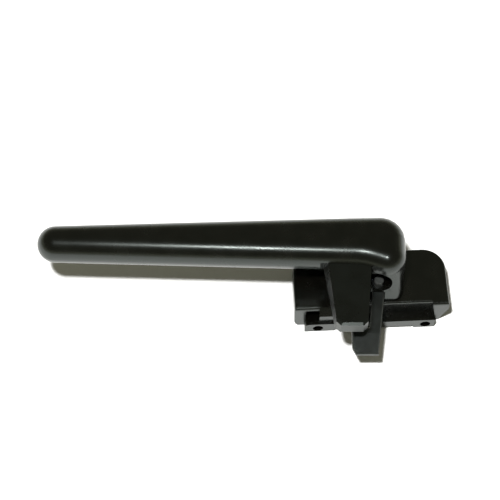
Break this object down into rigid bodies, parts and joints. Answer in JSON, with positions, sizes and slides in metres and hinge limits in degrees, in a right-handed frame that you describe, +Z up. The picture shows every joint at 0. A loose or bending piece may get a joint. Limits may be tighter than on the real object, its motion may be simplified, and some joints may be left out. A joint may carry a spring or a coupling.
{
  "type": "casement window cam locking handle",
  "caption": "Cam locking handle for a window sash: tapered lever turning on a base block, with a wedge nose and an L-shaped hook link.",
  "frame": {"origin": "on the flat underside of the base, under the axis that the handle turns about", "axes": "+Z up from the underside along the handle's turning axis; +X along the base, away from the lever's grip; the front, where the base meets the sash and the nose reaches out, faces -Y"},
  "size_m": [0.1436, 0.0495, 0.0311],
  "materials": {
    "black_powder_coat": "semi-gloss black powder coat over zinc die casting",
    "black_enamel": "semi-gloss black paint on pressed steel",
    "bronze": "sintered bronze, dull",
    "white_nylon": "natural nylon",
    "black_nylon": "black moulded nylon, matt",
    "zinc_steel": "zinc plated steel",
    "polished_steel": "polished bearing steel",
    "spring_steel": "oiled spring steel",
    "black_oxide_steel": "black oxide steel"
  },
  "bodies": {
    "base": {"base_casting": "black_powder_coat", "pivot_bush": "bronze", "thrust_washer": "white_nylon", "stop_pin": "zinc_steel", "detent_ball": "polished_steel", "detent_spring": "spring_steel", "detent_screw": "black_oxide_steel", "underside_plug": "black_nylon"},
    "handle": {"handle_lever": "black_powder_coat", "pivot_spindle": "zinc_steel", "spindle_clamp_screw": "black_oxide_steel", "spindle_washer": "zinc_steel", "retaining_screw": "zinc_steel", "friction_spring": "spring_steel", "hook_sleeve": "bronze", "nose_tongue": "black_powder_coat", "nose_dowels": "zinc_steel", "hook_spring": "spring_steel"},
    "hook": {"hook_link": "black_enamel", "hook_pin": "zinc_steel"}
  },
  "joints": [
    {"name": "handle_turn", "type": "hinge", "parent": "base", "child": "handle", "pos_m": [0, 0, 0.0115], "axis": [0, 0, 1], "range_deg": [-87.4, 2.6]},
    {"name": "hook_swing", "type": "hinge", "parent": "handle", "child": "hook", "pos_m": [0, 0, 0.0137], "axis": [0, 0, 1], "range_deg": [-8, 0.8]}
  ]
}
